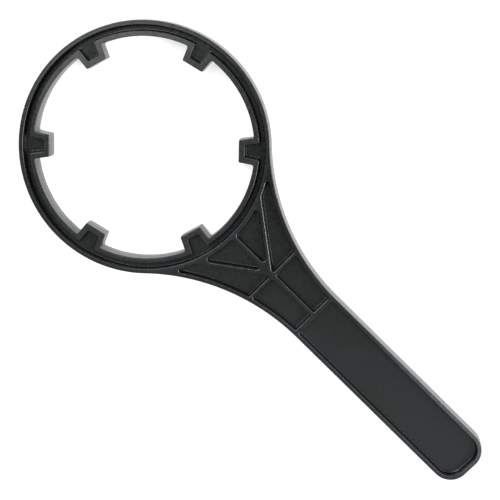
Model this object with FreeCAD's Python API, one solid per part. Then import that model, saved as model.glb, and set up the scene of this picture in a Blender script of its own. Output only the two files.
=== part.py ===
import FreeCAD, Part
import math
import os

from FreeCAD import Vector

# A one-piece moulded wrench for the collar of a water filter housing.
# Everything is in millimetres and degrees. The origin is on the ring's axis at its underside,
# +X runs along the handle and +Z is up. Left is the +Y side and right is the -Y side.
# The two faces are mirror images: a web at mid thickness carries walls and ribs above and below,
# and every wall leans by the draft from the parting plane, half way up, to its rim.

# The moulding
thickness = 11.7
web_thickness = 3.0
draft = 2.0
rim_edge_radius = 0.45
channel_floor_radius = 0.6
pocket_floor_radius = 0.85

# The ring
ring_outer_radius = 62.15
ring_opening_radius = 54.5
ring_outer_wall = 2.25
ring_inner_wall = 2.5
channel_corner_radius = 0.8

# The six lugs, which point inwards from the ring and grip the housing's ribs
lug_count = 6
lug_start_angle = -16.8
lug_tip_radius = 46.8
lug_tip_width = 10.9
lug_taper = 9.3
lug_wall = 3.0
lug_tip_corner_radius = 0.55
lug_root_corner_radius = 1.0

# The handle
handle_half_width = 13.75
handle_end = 226.5
handle_corner_radius = 10.0
side_wall = 2.0
end_wall = 2.3
tray_corner_radius = 8.0

# The neck, which flares from the handle to the ring, and its ribs
neck_end = 119.0
centre_rib_width = 2.1
inner_cross_rib = 88.95
inner_cross_width = 1.65
outer_cross_rib = 117.25
outer_cross_width = 2.2

# Each diagonal rib: where its line crosses the centre line, its angle to it, and its width
left_diagonal = (86.8, 37.6, 1.95)
right_diagonal = (87.6, 36.2, 1.65)

# The rounded corners of the neck's pockets, in plan
side_pocket_corner_radius = 1.05
triangle_pocket_corner_radius = 1.5
square_pocket_corner_radius = 1.1

# Where the moulding is divided into its named sections
foot_margin = 0.9
junction_margin = 1.5
least_corner_radius = 0.3
lug_section_angle = 8.5
arc_rib_angle = 27.5
hub_radius = 8.0
end_section_start = 213.0

# Sizes that follow from those above, with heights measured from the parting plane
rim_height = thickness / 2
floor_height = web_thickness / 2
slope = math.tan(math.radians(draft))
spread = rim_height * slope
flare_radius = (neck_end**2 + handle_half_width**2 - ring_outer_radius**2) / (
    2 * (ring_outer_radius - handle_half_width)
)
flare_angle = math.degrees(math.atan2(handle_half_width + flare_radius, neck_end))
channel_inner_radius = ring_opening_radius + ring_inner_wall
channel_outer_radius = ring_outer_radius - ring_outer_wall
web_inner_radius = channel_inner_radius + foot_margin
web_outer_radius = channel_outer_radius - foot_margin
rib_foot_radius = ring_outer_radius + junction_margin
tray_start = outer_cross_rib + outer_cross_width / 2
outer_rib_end = tray_start + junction_margin
lug_pitch = 360 / lug_count
up = Vector(0, 0, 1)
origin = Vector(0, 0, 0)
clear = 1.0
far = 400.0
round_beyond = ring_outer_radius + spread + clear


def polar(radius, angle, z=0.0):
    """The point at a radius and an angle about the ring's axis."""
    turn = math.radians(angle)
    return Vector(radius * math.cos(turn), radius * math.sin(turn), z)


def arc(centre, radius, start, middle, end):
    """An arc about a centre, from one angle through another to a third."""
    points = [centre + polar(radius, angle) for angle in (start, middle, end)]
    return Part.Arc(*points).toShape()


def outline(grow, z):
    """The wrench's plan outline at height z, moved outwards by grow."""
    half = handle_half_width + grow
    end = handle_end + grow
    corner = handle_corner_radius + grow
    ring = ring_outer_radius + grow
    flare = flare_radius - grow
    flare_y = handle_half_width + flare_radius
    corner_x = end - corner
    corner_y = half - corner
    lean = (flare_angle + 90) / 2
    edges = [
        arc(Vector(0, 0, z), ring, flare_angle, 180, -flare_angle),
        arc(Vector(neck_end, -flare_y, z), flare, 180 - flare_angle, 180 - lean, 90),
        Part.makeLine(Vector(neck_end, -half, z), Vector(corner_x, -half, z)),
        arc(Vector(corner_x, -corner_y, z), corner, -90, -45, 0),
        Part.makeLine(Vector(end, -corner_y, z), Vector(end, corner_y, z)),
        arc(Vector(corner_x, corner_y, z), corner, 0, 45, 90),
        Part.makeLine(Vector(corner_x, half, z), Vector(neck_end, half, z)),
        arc(Vector(neck_end, flare_y, z), flare, -90, lean - 180, flare_angle - 180),
    ]
    return Part.Wire(edges)


def loft(low, high):
    """A solid with straight sides from one closed wire up to another."""
    return Part.makeLoft([low, high], True, True)


def growth(z):
    """How much further out a wall's outside stands at height z than at its rim."""
    return (rim_height - z) * slope


def cone(rim_radius, side, low, high):
    """A drafted round solid: side is 1 where it widens downwards and -1 where it narrows."""
    low_radius = rim_radius + side * growth(low)
    high_radius = rim_radius + side * growth(high)
    solid = Part.makeCone(low_radius, high_radius, high - low, Vector(0, 0, low))
    solid.rotate(origin, up, lug_start_angle)
    return solid


def level_edges(shape, z):
    """The edges that lie at height z."""
    return [e for e in shape.Edges if all(abs(v.Z - z) < 1e-5 for v in e.Vertexes)]


def upright_edges(shape, least_radius, most_radius):
    """The edges that climb the shape's sides, between two distances from the ring's axis."""
    found = []
    for edge in shape.Edges:
        climb = abs(edge.Vertexes[0].Z - edge.Vertexes[-1].Z)
        distance = math.hypot(edge.CenterOfMass.x, edge.CenterOfMass.y)
        if climb > clear and least_radius < distance < most_radius:
            found.append(edge)
    return found


def lug_block(inset, side, low, high):
    """A lug at angle 0, its faces moved in by inset at the rim and leaning outwards or inwards."""
    taper = math.radians(lug_taper)
    wires = []
    for z in (low, high):
        moved = inset - side * growth(z)
        tip = lug_tip_radius + moved
        root = (ring_opening_radius + channel_inner_radius) / 2
        if side < 0:
            root = (channel_inner_radius + channel_outer_radius) / 2
        half_tip = lug_tip_width / 2 + (tip - lug_tip_radius) * math.tan(taper) - moved / math.cos(taper)
        half_root = half_tip + (root - tip) * math.tan(taper)
        corners = [(tip, -half_tip), (root, -half_root), (root, half_root), (tip, half_tip)]
        points = [Vector(x, y, z) for x, y in corners]
        wires.append(Part.makePolygon(points + points[:1]))
    return loft(*wires)


def around_ring(block):
    """The block repeated at each lug's angle."""
    copies = []
    for number in range(lug_count):
        copy = block.copy()
        copy.rotate(origin, up, lug_start_angle + number * lug_pitch)
        copies.append(copy)
    return copies


def opening():
    """The space inside the ring, with the lugs standing into it."""
    space = cone(ring_opening_radius, -1, -clear, rim_height + clear)
    space = space.cut(around_ring(lug_block(0, 1, -clear, rim_height + clear)))
    space = space.makeFillet(lug_tip_corner_radius, upright_edges(space, 0, lug_tip_radius + 1))
    root_edges = upright_edges(space, ring_opening_radius - 1, ring_opening_radius + 1)
    return space.makeFillet(lug_root_corner_radius, root_edges)


def channel():
    """The groove between the ring's two walls, with its branch into each lug."""
    island = cone(channel_inner_radius, 1, floor_height, rim_height + clear)
    island = island.cut(around_ring(lug_block(lug_wall, -1, floor_height, rim_height + clear)))
    island = island.makeFillet(channel_corner_radius, upright_edges(island, 0, channel_outer_radius))
    groove = cone(channel_outer_radius, -1, floor_height, rim_height + clear).cut(island)
    return groove.makeFillet(channel_floor_radius, level_edges(groove, floor_height))


def plate(x_low, x_high, y_low, y_high):
    """A flat rectangle at the rim's height."""
    return Part.makePlane(x_high - x_low, y_high - y_low, Vector(x_low, y_low, rim_height))


def beside_diagonal(diagonal, side):
    """The part of the plan to one side of a diagonal rib: 1 is the side away from the centre line."""
    crossing, angle, width = diagonal
    face = plate(-far, far, width / 2, far)
    if side < 0:
        face = plate(-far, far, -far, -width / 2)
    face.rotate(Vector(0, 0, rim_height), up, -angle)
    face.translate(Vector(crossing, 0, 0))
    return face


def mirrored(shape):
    """The shape on the other side of the centre line."""
    return shape.mirror(origin, Vector(0, 1, 0))


def neck_half_regions(diagonal):
    """The plan of the three neck pockets on the left of the centre line, with sharp corners."""
    ring = Part.Face(Part.Wire(Part.makeCircle(ring_outer_radius, Vector(0, 0, rim_height))))
    inside = Part.Face(outline(-side_wall, rim_height)).cut(ring)
    inner_end = inner_cross_rib - inner_cross_width / 2
    outer_start = inner_cross_rib + inner_cross_width / 2
    outer_end = outer_cross_rib - outer_cross_width / 2
    half = inside.common(plate(0, far, centre_rib_width / 2, far))
    nearer = half.common(plate(0, inner_end, 0, far))
    return {
        "side": nearer.common(beside_diagonal(diagonal, 1)),
        "triangle": nearer.common(beside_diagonal(diagonal, -1)),
        "square": half.common(plate(outer_start, outer_end, 0, far)),
    }


def neck_regions():
    """The plan of all six neck pockets, by name."""
    regions = {}
    for name, face in neck_half_regions(left_diagonal).items():
        regions["left_" + name] = face
    for name, face in neck_half_regions(right_diagonal).items():
        regions["right_" + name] = mirrored(face)
    return regions


def neck_pocket(region, corner_radius):
    """A drafted pocket over a sharp-cornered plan, with its corners and floor edge rounded."""
    core = region.Faces[0].OuterWire.makeOffset2D(-corner_radius)
    low = core.makeOffset2D(corner_radius - growth(floor_height))
    high = core.makeOffset2D(corner_radius - growth(rim_height + clear))
    low.translate(Vector(0, 0, floor_height - rim_height))
    high.translate(Vector(0, 0, clear))
    space = loft(low, high)
    return space.makeFillet(pocket_floor_radius, level_edges(space, floor_height))


def tray_wire(shrink, z):
    """The rounded rectangle of the handle's long tray, moved inwards by shrink."""
    start = tray_start + shrink
    end = handle_end - end_wall - shrink
    half = handle_half_width - side_wall - shrink
    tight = max(square_pocket_corner_radius - shrink, least_corner_radius)
    wide = tray_corner_radius - shrink
    edges = [
        Part.makeLine(Vector(start + tight, -half, z), Vector(end - wide, -half, z)),
        arc(Vector(end - wide, wide - half, z), wide, -90, -45, 0),
        Part.makeLine(Vector(end, wide - half, z), Vector(end, half - wide, z)),
        arc(Vector(end - wide, half - wide, z), wide, 0, 45, 90),
        Part.makeLine(Vector(end - wide, half, z), Vector(start + tight, half, z)),
        arc(Vector(start + tight, half - tight, z), tight, 90, 135, 180),
        Part.makeLine(Vector(start, half - tight, z), Vector(start, tight - half, z)),
        arc(Vector(start + tight, tight - half, z), tight, 180, 225, 270),
    ]
    return Part.Wire(edges)


def tray():
    """The long pocket in the handle."""
    low = tray_wire(growth(floor_height), floor_height)
    high = tray_wire(growth(rim_height + clear), rim_height + clear)
    space = loft(low, high)
    return space.makeFillet(pocket_floor_radius, level_edges(space, floor_height))


def pockets(regions):
    """Every pocket in the neck and the handle."""
    corner_radii = {
        "side": side_pocket_corner_radius,
        "triangle": triangle_pocket_corner_radius,
        "square": square_pocket_corner_radius,
    }
    cuts = [tray()]
    for name, region in regions.items():
        cuts.append(neck_pocket(region, corner_radii[name.split("_")[1]]))
    return cuts


def moulding(regions):
    """The whole wrench: one half from the parting plane up, and its mirror image below."""
    blank = loft(outline(spread, 0), outline(0, rim_height))
    half = blank.cut([opening(), channel()] + pockets(regions))
    half = half.makeFillet(rim_edge_radius, level_edges(half, rim_height))
    whole = half.fuse(half.mirror(origin, up))
    whole.translate(Vector(0, 0, rim_height))
    return whole


def sector(inner, outer, start, end):
    """An upright block about the ring's axis, between two radii and two angles."""
    base = Vector(0, 0, -clear)
    block = Part.makeCylinder(outer, thickness + 2 * clear, base, up, end - start)
    if inner:
        block = block.cut(Part.makeCylinder(inner, thickness + 2 * clear, base, up))
    block.rotate(origin, up, start)
    return block


def prism(face):
    """An upright block over a plan face that lies at the parting plane's height."""
    base = face.copy()
    base.translate(Vector(0, 0, -rim_height - clear))
    return base.extrude(Vector(0, 0, thickness + 2 * clear))


def diagonal_band(diagonal):
    """The plan strip that a diagonal rib and its feet stand in."""
    crossing, angle, width = diagonal
    half = width / 2 + junction_margin
    face = plate(-far, 0, -half, half)
    face.rotate(Vector(0, 0, rim_height), up, -angle)
    face.translate(Vector(crossing, 0, 0))
    return face


def cross_band(middle, width, low_y, high_y):
    """The plan strip that a cross rib and its feet stand in."""
    half = width / 2 + junction_margin
    return plate(middle - half, middle + half, low_y, high_y)


def rib_blocks():
    """The space of each rib in the neck, by name, and of the hub where most of them meet."""
    half = centre_rib_width / 2 + junction_margin
    bands = {
        "left_diagonal_rib": diagonal_band(left_diagonal),
        "right_diagonal_rib": mirrored(diagonal_band(right_diagonal)),
        "inner_centre_rib": plate(0, inner_cross_rib, -half, half),
        "left_cross_rib": cross_band(inner_cross_rib, inner_cross_width, 0, far),
        "right_cross_rib": cross_band(inner_cross_rib, inner_cross_width, -far, 0),
        "outer_cross_rib": cross_band(outer_cross_rib, outer_cross_width, -far, far),
        "outer_centre_rib": plate(inner_cross_rib, outer_cross_rib, -half, half),
    }
    ribs = {name: prism(band) for name, band in bands.items()}
    middle = Vector(inner_cross_rib, 0, -clear)
    round_block = Part.makeCylinder(hub_radius, thickness + 2 * clear, middle, up)
    meeting = [block for name, block in ribs.items() if name != "outer_cross_rib"]
    hub = round_block.common(meeting[0].fuse(meeting[1:]))
    return {"rib_hub": hub, **ribs}


def ring_blocks():
    """The space of each section of the ring, by name."""
    blocks = {"ring_web": sector(web_inner_radius, web_outer_radius, 0, 360)}
    for number in range(lug_count):
        start = lug_start_angle + number * lug_pitch - lug_section_angle
        turn = start + 2 * lug_section_angle
        blocks[f"lug_{number + 1}"] = sector(0, web_inner_radius, start, turn)
        blocks[f"ring_inner_wall_{number + 1}"] = sector(0, web_inner_radius, turn, start + lug_pitch)
    blocks["left_ring_outer_wall"] = sector(web_outer_radius, round_beyond, flare_angle, 180)
    blocks["right_ring_outer_wall"] = sector(web_outer_radius, round_beyond, 180, 360 - flare_angle)
    blocks["ring_arc_rib"] = sector(web_outer_radius, rib_foot_radius, -arc_rib_angle, arc_rib_angle)
    return blocks


def wall_blocks():
    """The space of the neck's two side walls, by name."""
    beyond = Part.Face(outline(spread + clear, rim_height))
    within = Part.Face(outline(-side_wall - junction_margin, rim_height))
    edge = beyond.cut(within).common(plate(0, outer_rib_end, 0, far))
    root = sector(web_outer_radius, rib_foot_radius, arc_rib_angle, flare_angle)
    left = prism(edge).fuse(root)
    return {"left_neck_wall": left, "right_neck_wall": mirrored(left)}


def handle_blocks():
    """The space of each section of the handle, by name."""
    return {
        "handle_web": prism(Part.Face(tray_wire(junction_margin, rim_height))),
        "handle_end_wall": prism(plate(end_section_start, far, -far, far)),
        "left_handle_wall": prism(plate(outer_rib_end, far, 0, far)),
        "right_handle_wall": prism(plate(outer_rib_end, far, -far, 0)),
    }


def divided(whole, blocks):
    """The whole shape divided into named sections: each block takes what the ones before it left."""
    parts = {}
    rest = whole
    for name, block in blocks.items():
        parts[name] = rest.common(block)
        rest = rest.cut(block)
    return parts


def main():
    regions = neck_regions()
    blocks = {**ring_blocks(), **wall_blocks(), **rib_blocks()}
    for name, region in regions.items():
        blocks[name + "_panel"] = prism(region)
    blocks.update(handle_blocks())
    wrench = moulding(regions)
    parts = divided(wrench, blocks)
    os.makedirs("parts", exist_ok=True)
    for name, part in parts.items():
        part.exportStep(f"parts/{name}.step")
        print(name, len(part.Solids), part.isValid(), round(part.Volume, 2))
    print("volume left over", wrench.Volume - sum(part.Volume for part in parts.values()))


if __name__ == "__main__":
    main()
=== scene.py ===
"""The looks of a one-piece moulded plastic wrench for filter housings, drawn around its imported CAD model."""

import math

import bpy
from mathutils import Matrix, Vector


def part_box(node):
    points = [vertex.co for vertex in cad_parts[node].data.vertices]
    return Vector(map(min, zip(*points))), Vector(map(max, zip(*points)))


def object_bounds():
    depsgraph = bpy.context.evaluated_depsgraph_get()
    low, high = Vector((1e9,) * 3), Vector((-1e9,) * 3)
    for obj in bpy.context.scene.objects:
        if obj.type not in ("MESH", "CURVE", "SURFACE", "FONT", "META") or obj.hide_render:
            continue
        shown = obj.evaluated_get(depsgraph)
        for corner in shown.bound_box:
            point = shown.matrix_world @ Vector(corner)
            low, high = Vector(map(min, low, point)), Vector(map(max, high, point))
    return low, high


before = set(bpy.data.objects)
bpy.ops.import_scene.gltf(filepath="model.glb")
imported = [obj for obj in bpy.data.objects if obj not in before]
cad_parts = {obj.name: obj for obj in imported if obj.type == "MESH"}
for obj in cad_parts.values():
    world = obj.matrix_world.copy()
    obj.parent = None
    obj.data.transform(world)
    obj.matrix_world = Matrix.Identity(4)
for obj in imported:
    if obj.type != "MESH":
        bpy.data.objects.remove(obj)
cad_low, cad_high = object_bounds()
wall_low, wall_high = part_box("left_handle_wall")

MM = 0.001

# The wrench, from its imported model: the draft brings the rims in from the parting line
MIDDLE = (cad_low + cad_high) / 2
TOP = cad_high.z
PARTING_HEIGHT = MIDDLE.z
DRAFT = math.radians(2)
RIM_INSET = (TOP - PARTING_HEIGHT) * math.tan(DRAFT)
RING_RADIUS = -cad_low.x
HANDLE_START = wall_low.x
HANDLE_SIDES_END = wall_high.x
HANDLE_HALF_WIDTH = wall_high.y - RIM_INSET
WALL_WIDTH = 2.4 * MM

# The view: from above and a little to the wrench's left, with the handle towards the lower right
# The lens and the sensor are in millimetres, and every other length in this file is in metres
VIEW_POINT = Vector((72.3 * MM, 0.1 * MM, PARTING_HEIGHT))
VIEW_DISTANCE = 742.0 * MM
VIEW_TILT = math.radians(11.15)
VIEW_BEARING = math.radians(105.25)
HANDLE_TURN = math.radians(44.33)
LENS_LENGTH = 108
SENSOR_WIDTH = 36
NEAREST_DRAWN = 10 * MM

# The studio: softboxes as (name, bearing in the picture, angle from overhead, side in metres, brightness)
# A bearing of 0 is the picture's right and 90 its top
SOFTBOX_DISTANCE = 3.0
SOFTBOXES = (
    ("right_softbox", 345, 47, 1.50, 12.0),
    ("upper_left_softbox", 120, 22, 0.90, 9.6),
    ("left_softbox", 150, 28, 0.90, 2.9),
    ("far_upper_left_softbox", 136, 48, 1.50, 3.7),
    ("top_softbox", 91, 25, 1.18, 0.8),
    ("upper_right_softbox", 31, 25, 1.18, 0.9),
    ("far_upper_right_softbox", 43, 52, 1.00, 4.0),
    ("lower_softbox", 271, 25, 1.18, 0.9),
    ("lower_left_softbox", 225, 25, 1.00, 0.55),
)
WHITE = (1, 1, 1, 1)
HORIZON_LIGHT = 0.10
OVERHEAD_LIGHT = 0.03
HORIZON_TOP = 0.5
FLOOR_GREY = (0.58, 0.58, 0.58, 1)
FLOOR_GLOW = 0.68
FLOOR_GAP = 0.05 * MM
FLOOR_SIZE = 6.0

# The ways a share can run along a span
RISING = (0.0, 1.0)
FALLING = (1.0, 0.0)

# The plastic's colour: two pigments in soft clouds, bluer in the handle than in the ring
GREEN_BLACK = (0.0062, 0.0086, 0.0070, 1)
BLUE_BLACK = (0.0084, 0.0096, 0.0122, 1)
CLOUD_SIZE = 35 * MM
CLOUD_BLEND = (0.4, 0.6)
BLUER_SPAN = (HANDLE_START - 25 * MM, HANDLE_START + 55 * MM)
BLUER_SHIFT = (-0.15, 0.15)

# Its shine: satin, duller or glossier from patch to patch and from cloud to cloud
MOTTLE_SIZE = 1.8 * MM
SATIN_PATCHES = (0.25, 0.75)
SATIN_ROUGHNESS = (0.23, 0.30)
SATIN_CLOUDS = (0.3, 0.7)
CLOUD_ROUGHNESS = (-0.02, 0.03)
PLAIN_SHINE = 0.5

# Its relief: the mould's grain, shallow waves and the fine ridge where the mould's halves meet
GRAIN_SIZE = 0.16 * MM
GRAIN_DEPTH = 0.0003 * MM
MOTTLE_DEPTH = 0.002 * MM
WAVE_SIZE = 14 * MM
WAVE_DEPTH = 0.04 * MM
FLASH_WIDTH = 0.10 * MM
FLASH_HEIGHT = 0.08 * MM

# Where the surface turns between upright and flat, by how much of its facing is up or down
OFF_WALLS = (0.10, 0.35)
OFF_FLATS = (0.93, 0.999)

# The rims' rounded edges in the neck, shinier and a little paler in patches: a painted highlight, partly wear
EDGE_DEPTHS = (0.15 * MM, 0.45 * MM)
EDGE_SHINE = 1.0
EDGE_ROUGHNESS = -0.06
RUBBED_HIGHLIGHT_PATCHES = (0.35, 0.70)
RUBBED_HIGHLIGHT_STRENGTHS = (0.3, 0.6)
WORN_AND_HIGHLIGHT_GREY = (0.054, 0.056, 0.059, 1)

# The rounded feet of the neck's walls and ribs, made duller as painted shade
FOOT_DEPTHS = (0.45 * MM, 0.90 * MM)
FOOT_SHADE_SHINE = 0.15
NECK_END = (HANDLE_START - 10 * MM, HANDLE_START)

# The rims' flats, paler and rougher, most on one side of the ring and towards the handle's end
PALE_FLAT_DEPTH = 0.10 * MM
PALING_ROUGHNESS = 0.14
PALING_PATCHES = (0.25, 0.65)
PALING_STRENGTHS = (0.6, 1.0)
LIGHTLY_PALED = 0.2
RING_EDGE = RING_RADIUS + 0.25 * MM
NECK_BLEND = 3.0 * MM
RING_PALING_BEARING = math.radians(150)
RING_PALING_SPAN = (0.35 * RING_EDGE, 0.95 * RING_EDGE)
RING_PALING_STRENGTHS = (0.16, 1.0)
HANDLE_PALING_SPAN = (HANDLE_START, HANDLE_SIDES_END - 3 * MM)
HANDLE_PALING_STRENGTHS = (0.1, 1.3)

# The inner edge of the handle's right wall, painted paler: a painted highlight, partly wear
RIGHT_WALL_MIDDLE = WALL_WIDTH / 2 - HANDLE_HALF_WIDTH
INNER_HALF = (RIGHT_WALL_MIDDLE, RIGHT_WALL_MIDDLE + 0.5 * MM)
OFF_RIGHT_WALL = (-HANDLE_HALF_WIDTH / 2, 0)
INNER_HIGHLIGHT_SPAN = (HANDLE_START - 10 * MM, HANDLE_SIDES_END - 3 * MM)

# Hairline scratches, in patches, that run two ways across the wrench, as turns in degrees
SCRATCH_TURNS = (38, -52)
SCRATCH_WIDTH = 0.10 * MM
SCRATCH_LENGTH = 9 * MM
SCRATCH_DEPTH = 0.004 * MM
SCRATCH_LINES = (0.70, 0.80)
SCRATCH_PATCHES = (0.52, 0.66)
SCRATCH_STRENGTH = 0.5

# Specks of dust, whose sizes are shares of the space between them
DUST_GREY = (0.16, 0.165, 0.16, 1)
DUST_SPACING = 5.0 * MM
DUST_SPECKS = (0.02, 0.05)
DUST_STRENGTH = 0.25
DUST_ROUGHNESS = 0.4


def picture_axes():
    """The directions to the picture's right, to its top and to the camera."""
    flat = math.sin(VIEW_TILT)
    back = Vector((flat * math.cos(VIEW_BEARING), flat * math.sin(VIEW_BEARING), math.cos(VIEW_TILT)))
    across_handle = Vector((-math.sin(HANDLE_TURN), math.cos(HANDLE_TURN), 0))
    right = across_handle.cross(back).normalized()
    return right, back.cross(right), back


def add_camera():
    """The camera, with no shift and no depth of field."""
    right, up, back = picture_axes()
    data = bpy.data.cameras.new("camera")
    data.lens = LENS_LENGTH
    data.sensor_width = SENSOR_WIDTH
    data.clip_start = NEAREST_DRAWN
    camera = bpy.data.objects.new("camera", data)
    bpy.context.scene.collection.objects.link(camera)
    turn = Matrix((right, up, back)).transposed().to_4x4()
    camera.matrix_world = Matrix.Translation(VIEW_POINT + back * VIEW_DISTANCE) @ turn
    bpy.context.scene.camera = camera


def add_softbox(name, bearing, from_overhead, side, brightness):
    """A square softbox that faces the wrench, placed by its bearing in the picture."""
    turn = math.radians(bearing) + HANDLE_TURN
    lean = math.radians(from_overhead)
    towards = Vector((math.sin(lean) * math.cos(turn), math.sin(lean) * math.sin(turn), math.cos(lean)))
    data = bpy.data.lights.new(name, "AREA")
    data.size = side
    data.energy = brightness * math.pi * side**2
    light = bpy.data.objects.new(name, data)
    bpy.context.scene.collection.objects.link(light)
    light.location = VIEW_POINT + towards * SOFTBOX_DISTANCE
    light.rotation_euler = towards.to_track_quat("Z", "Y").to_euler()


def add_world():
    """A soft glow from the horizon that fades overhead."""
    world = bpy.data.worlds.new("studio")
    bpy.context.scene.world = world
    world.use_nodes = True
    nodes = world.node_tree.nodes
    links = world.node_tree.links
    direction = nodes.new("ShaderNodeTexCoord")
    height = nodes.new("ShaderNodeSeparateXYZ")
    fade = nodes.new("ShaderNodeMapRange")
    fade.inputs["From Max"].default_value = HORIZON_TOP
    fade.inputs["To Min"].default_value = HORIZON_LIGHT
    fade.inputs["To Max"].default_value = OVERHEAD_LIGHT
    links.new(direction.outputs["Generated"], height.inputs[0])
    links.new(height.outputs["Z"], fade.inputs["Value"])
    links.new(fade.outputs[0], nodes["Background"].inputs["Strength"])
    nodes["Background"].inputs["Color"].default_value = WHITE


def add_floor():
    """A plain pale floor just under the wrench."""
    half = FLOOR_SIZE / 2
    corners = [(-half, -half, 0), (half, -half, 0), (half, half, 0), (-half, half, 0)]
    mesh = bpy.data.meshes.new("floor")
    mesh.from_pydata(corners, [], [(0, 1, 2, 3)])
    floor = bpy.data.objects.new("floor", mesh)
    bpy.context.scene.collection.objects.link(floor)
    floor.location = (MIDDLE.x, MIDDLE.y, cad_low.z - FLOOR_GAP)
    material = bpy.data.materials.new("floor_paper")
    material.use_nodes = True
    shader = material.node_tree.nodes["Principled BSDF"]
    shader.inputs["Base Color"].default_value = FLOOR_GREY
    shader.inputs["Roughness"].default_value = 1.0
    shader.inputs["Specular IOR Level"].default_value = 0.0
    shader.inputs["Emission Color"].default_value = WHITE
    shader.inputs["Emission Strength"].default_value = FLOOR_GLOW
    mesh.materials.append(material)


class Recipe:
    """Short ways to add and join the nodes of one material."""

    def __init__(self, name):
        self.material = bpy.data.materials.new(name)
        self.material.use_nodes = True
        self.nodes = self.material.node_tree.nodes
        self.shader = self.nodes["Principled BSDF"]
        self.place = self.nodes.new("ShaderNodeTexCoord").outputs["Object"]
        self.facing = self.nodes.new("ShaderNodeNewGeometry").outputs["True Normal"]

    def join(self, source, socket):
        """Feeds a socket from another node's output, or sets it to a plain value."""
        if isinstance(source, bpy.types.NodeSocket):
            self.material.node_tree.links.new(source, socket)
        else:
            socket.default_value = source

    def math(self, operation, *values):
        """The output of one sum on its inputs."""
        node = self.nodes.new("ShaderNodeMath")
        node.operation = operation
        for socket, value in zip(node.inputs, values):
            self.join(value, socket)
        return node.outputs[0]

    def square(self, value):
        """A value times itself."""
        return self.math("MULTIPLY", value, value)

    def split(self, vector):
        """A vector's three parts, by axis."""
        node = self.nodes.new("ShaderNodeSeparateXYZ")
        self.join(vector, node.inputs[0])
        return node.outputs

    def stretched(self, size, turn):
        """Places divided by a size along each axis, after a turn about the upright."""
        node = self.nodes.new("ShaderNodeMapping")
        node.vector_type = "TEXTURE"
        node.inputs["Rotation"].default_value = (0, 0, math.radians(turn))
        node.inputs["Scale"].default_value = size
        self.join(self.place, node.inputs["Vector"])
        return node.outputs[0]

    def noise(self, size, detail, turn=0.0):
        """Soft noise from 0 to 1 whose lumps have a size along each axis."""
        node = self.nodes.new("ShaderNodeTexNoise")
        node.inputs["Scale"].default_value = 1.0
        node.inputs["Detail"].default_value = detail
        self.join(self.stretched(size, turn), node.inputs["Vector"])
        return node.outputs["Fac"]

    def ramp(self, value, span, results=RISING):
        """A value eased across a span, from the first result at its low end to the second."""
        node = self.nodes.new("ShaderNodeMapRange")
        node.interpolation_type = "SMOOTHSTEP"
        for socket, number in zip(node.inputs, (value, *span, *results)):
            self.join(number, socket)
        return node.outputs[0]

    def mix(self, share, first, second):
        """A colour between two others."""
        node = self.nodes.new("ShaderNodeMix")
        node.data_type = "RGBA"
        self.join(share, node.inputs["Factor"])
        self.join(first, node.inputs["A"])
        self.join(second, node.inputs["B"])
        return node.outputs["Result"]

    def bump(self, height, depth, below=None):
        """A normal bent by a height of 0 to 1 times a depth in metres, laid over another normal."""
        node = self.nodes.new("ShaderNodeBump")
        node.inputs["Distance"].default_value = depth
        self.join(height, node.inputs["Height"])
        if below is not None:
            self.join(below, node.inputs["Normal"])
        return node.outputs["Normal"]


def height_from_parting(recipe):
    """How far a place lies above or below the plane where the mould's halves meet."""
    from_middle = recipe.math("SUBTRACT", recipe.split(recipe.place)["Z"], PARTING_HEIGHT)
    return recipe.math("ABSOLUTE", from_middle)


def depth_below_rim(recipe):
    """How far a place lies from the rims of the nearer face, front or back."""
    return recipe.math("SUBTRACT", TOP - PARTING_HEIGHT, height_from_parting(recipe))


def turning_share(recipe):
    """Nearly 1 where the surface turns between flat and upright, and 0 on flats and walls."""
    upright = recipe.math("ABSOLUTE", recipe.split(recipe.facing)["Z"])
    return recipe.math("MULTIPLY", recipe.ramp(upright, OFF_WALLS), recipe.ramp(upright, OFF_FLATS, FALLING))


def rim_edge_share(recipe):
    """Nearly 1 on the rounded edges of the rims, front and back, and 0 elsewhere."""
    near_rim = recipe.ramp(depth_below_rim(recipe), EDGE_DEPTHS, FALLING)
    return recipe.math("MULTIPLY", near_rim, turning_share(recipe))


def foot_shade_share(recipe):
    """Nearly 1 on the rounded feet of the neck's walls and ribs, where painted shade goes, and 0 elsewhere."""
    deep = recipe.ramp(depth_below_rim(recipe), FOOT_DEPTHS)
    off_handle = recipe.ramp(recipe.split(recipe.place)["X"], NECK_END, FALLING)
    return recipe.math("MULTIPLY", off_handle, recipe.math("MULTIPLY", deep, turning_share(recipe)))


def ring_paling(recipe):
    """How much paler the ring's rims are in each place, and 0 off the ring."""
    place = recipe.split(recipe.place)
    radius = recipe.math("SQRT", recipe.math("ADD", recipe.square(place["X"]), recipe.square(place["Y"])))
    along = recipe.math("MULTIPLY", place["X"], math.cos(RING_PALING_BEARING))
    towards = recipe.math("MULTIPLY_ADD", place["Y"], math.sin(RING_PALING_BEARING), along)
    around_ring = recipe.ramp(towards, RING_PALING_SPAN, RING_PALING_STRENGTHS)
    off_neck = recipe.ramp(radius, (RING_EDGE - NECK_BLEND, RING_EDGE), FALLING)
    return recipe.math("MULTIPLY", off_neck, around_ring)


def handle_paling(recipe):
    """How much paler the handle's rims are in each place, and 0 off the handle."""
    place = recipe.split(recipe.place)
    across_handle = recipe.ramp(place["Y"], (-HANDLE_HALF_WIDTH, HANDLE_HALF_WIDTH), HANDLE_PALING_STRENGTHS)
    return recipe.math("MULTIPLY", recipe.ramp(place["X"], HANDLE_PALING_SPAN), across_handle)


def inner_worn_highlight(recipe):
    """How strongly the inner edge of the handle's right wall is painted paler, as a painted highlight that is
    partly wear, and 0 off that wall.
    """
    place = recipe.split(recipe.place)
    off_wall = recipe.ramp(place["Y"], OFF_RIGHT_WALL, FALLING)
    on_wall = recipe.math("MULTIPLY", recipe.ramp(place["Y"], INNER_HALF), off_wall)
    return recipe.math("MULTIPLY", on_wall, recipe.ramp(place["X"], INNER_HIGHLIGHT_SPAN))


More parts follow.
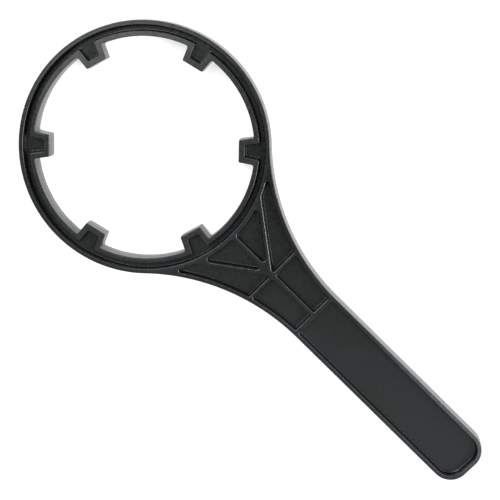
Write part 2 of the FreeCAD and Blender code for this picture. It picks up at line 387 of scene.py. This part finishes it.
def flash_share(recipe):
    """A fine ridge round the outside walls where the two halves of the mould meet."""
    return recipe.ramp(height_from_parting(recipe), (0, FLASH_WIDTH), FALLING)


def scratch_share(recipe, turn):
    """Sparse hairline scratches that run one way."""
    lines = recipe.noise((SCRATCH_LENGTH, SCRATCH_WIDTH, SCRATCH_WIDTH), detail=1.0, turn=turn)
    patches = recipe.noise((SCRATCH_LENGTH,) * 3, detail=2.0, turn=turn)
    return recipe.math("MULTIPLY", recipe.ramp(lines, SCRATCH_LINES), recipe.ramp(patches, SCRATCH_PATCHES))


def dust_share(recipe):
    """Scattered specks of dust, far apart."""
    specks = recipe.nodes.new("ShaderNodeTexVoronoi")
    specks.inputs["Scale"].default_value = 1 / DUST_SPACING
    recipe.join(recipe.place, specks.inputs["Vector"])
    return recipe.ramp(specks.outputs["Distance"], DUST_SPECKS, FALLING)


def plastic_marks(recipe):
    """What varies over the plastic, by name, each from 0 to about 1 in each place."""
    mottle = recipe.noise((MOTTLE_SIZE,) * 3, detail=4.0)
    reach = recipe.math("MAXIMUM", ring_paling(recipe), handle_paling(recipe))
    flats = recipe.ramp(depth_below_rim(recipe), (0, PALE_FLAT_DEPTH), FALLING)
    rim_edges = rim_edge_share(recipe)
    # Painted highlight, partly wear: the inner edge of the handle's right wall is painted paler
    worn_inner_highlight = recipe.math("MULTIPLY", rim_edges, inner_worn_highlight(recipe))
    with_paling = recipe.math("MAXIMUM", recipe.math("MULTIPLY", reach, flats), worn_inner_highlight)
    little_paled = recipe.ramp(reach, (0, LIGHTLY_PALED), FALLING)
    return {
        "mottle": mottle,
        "cloud": recipe.noise((CLOUD_SIZE,) * 3, detail=3.0),
        "edges": recipe.math("MULTIPLY", rim_edges, little_paled),
        "feet": foot_shade_share(recipe),
        # Paler rim flats, and the inner edge's painted highlight, partly wear
        "pale_flats_and_inner_highlight": recipe.math("MULTIPLY", with_paling, recipe.ramp(mottle, PALING_PATCHES, PALING_STRENGTHS)),
        "scratches": recipe.math("MAXIMUM", *(scratch_share(recipe, turn) for turn in SCRATCH_TURNS)),
        "dust": dust_share(recipe),
    }


def plastic_colour(recipe, marks):
    """Cloudy black pigment, paler where it is scratched or dusty and on the rims' flats, and with a painted
    highlight, partly wear, on the rim edges.
    """
    bluer = recipe.ramp(recipe.split(recipe.place)["X"], BLUER_SPAN, BLUER_SHIFT)
    blue_share = recipe.ramp(recipe.math("ADD", marks["cloud"], bluer), CLOUD_BLEND)
    pigment = recipe.mix(blue_share, GREEN_BLACK, BLUE_BLACK)
    patches = recipe.ramp(marks["mottle"], RUBBED_HIGHLIGHT_PATCHES, RUBBED_HIGHLIGHT_STRENGTHS)
    # Painted highlight, partly wear: the rim edges are paler in patches
    rubbed_highlight = recipe.math("MULTIPLY", marks["edges"], patches)
    wear_and_highlight = recipe.math("MAXIMUM", rubbed_highlight, recipe.math("MULTIPLY", marks["scratches"], SCRATCH_STRENGTH))
    worn_and_highlit = recipe.mix(recipe.math("MAXIMUM", wear_and_highlight, marks["pale_flats_and_inner_highlight"]), pigment, WORN_AND_HIGHLIGHT_GREY)
    return recipe.mix(recipe.math("MULTIPLY", marks["dust"], DUST_STRENGTH), worn_and_highlit, DUST_GREY)


def plastic_roughness(recipe, marks):
    """Satin, rougher on the paler rim flats and under dust, and smoother on the rim edges."""
    patches = recipe.ramp(marks["mottle"], SATIN_PATCHES, SATIN_ROUGHNESS)
    clouds = recipe.ramp(marks["cloud"], SATIN_CLOUDS, CLOUD_ROUGHNESS)
    satin = recipe.math("ADD", patches, clouds)
    with_paling = recipe.math("MULTIPLY_ADD", marks["pale_flats_and_inner_highlight"], PALING_ROUGHNESS, satin)
    dusty = recipe.math("MULTIPLY_ADD", marks["dust"], DUST_ROUGHNESS, with_paling)
    return recipe.math("MULTIPLY_ADD", marks["edges"], EDGE_ROUGHNESS, dusty)


def plastic_shine(recipe, marks):
    """How strongly the plastic reflects: most on the rim edges, for a painted highlight that is partly wear,
    and least on the feet of walls and ribs, as painted shade.
    """
    edged = recipe.math("MULTIPLY_ADD", marks["edges"], EDGE_SHINE - PLAIN_SHINE, PLAIN_SHINE)
    # Painted shade: the feet of the neck's walls and ribs reflect less
    return recipe.math("MULTIPLY_ADD", marks["feet"], FOOT_SHADE_SHINE - PLAIN_SHINE, edged)


def plastic_relief(recipe, marks):
    """The normal, bent by waves, mottle, grain, the mould's ridge and the scratches in turn."""
    relief = recipe.bump(recipe.noise((WAVE_SIZE,) * 3, detail=1.0), WAVE_DEPTH)
    relief = recipe.bump(marks["mottle"], MOTTLE_DEPTH, relief)
    relief = recipe.bump(recipe.noise((GRAIN_SIZE,) * 3, detail=2.0), GRAIN_DEPTH, relief)
    relief = recipe.bump(flash_share(recipe), FLASH_HEIGHT, relief)
    return recipe.bump(recipe.math("SUBTRACT", 1.0, marks["scratches"]), SCRATCH_DEPTH, relief)


def moulded_plastic():
    """Satin black plastic with mould grain, cloudy pigment, hairline scratches, paler rim flats, painted
    highlights on the rim edges and painted shade at the feet.
    """
    recipe = Recipe("moulded_plastic")
    marks = plastic_marks(recipe)
    recipe.join(plastic_colour(recipe, marks), recipe.shader.inputs["Base Color"])
    recipe.join(plastic_roughness(recipe, marks), recipe.shader.inputs["Roughness"])
    recipe.join(plastic_shine(recipe, marks), recipe.shader.inputs["Specular IOR Level"])
    recipe.join(plastic_relief(recipe, marks), recipe.shader.inputs["Normal"])
    return recipe.material


add_camera()
add_world()
add_floor()
for softbox in SOFTBOXES:
    add_softbox(*softbox)
plastic = moulded_plastic()
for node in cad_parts.values():
    node.data.materials.clear()
    node.data.materials.append(plastic)
bpy.context.scene.view_settings.view_transform = "Standard"
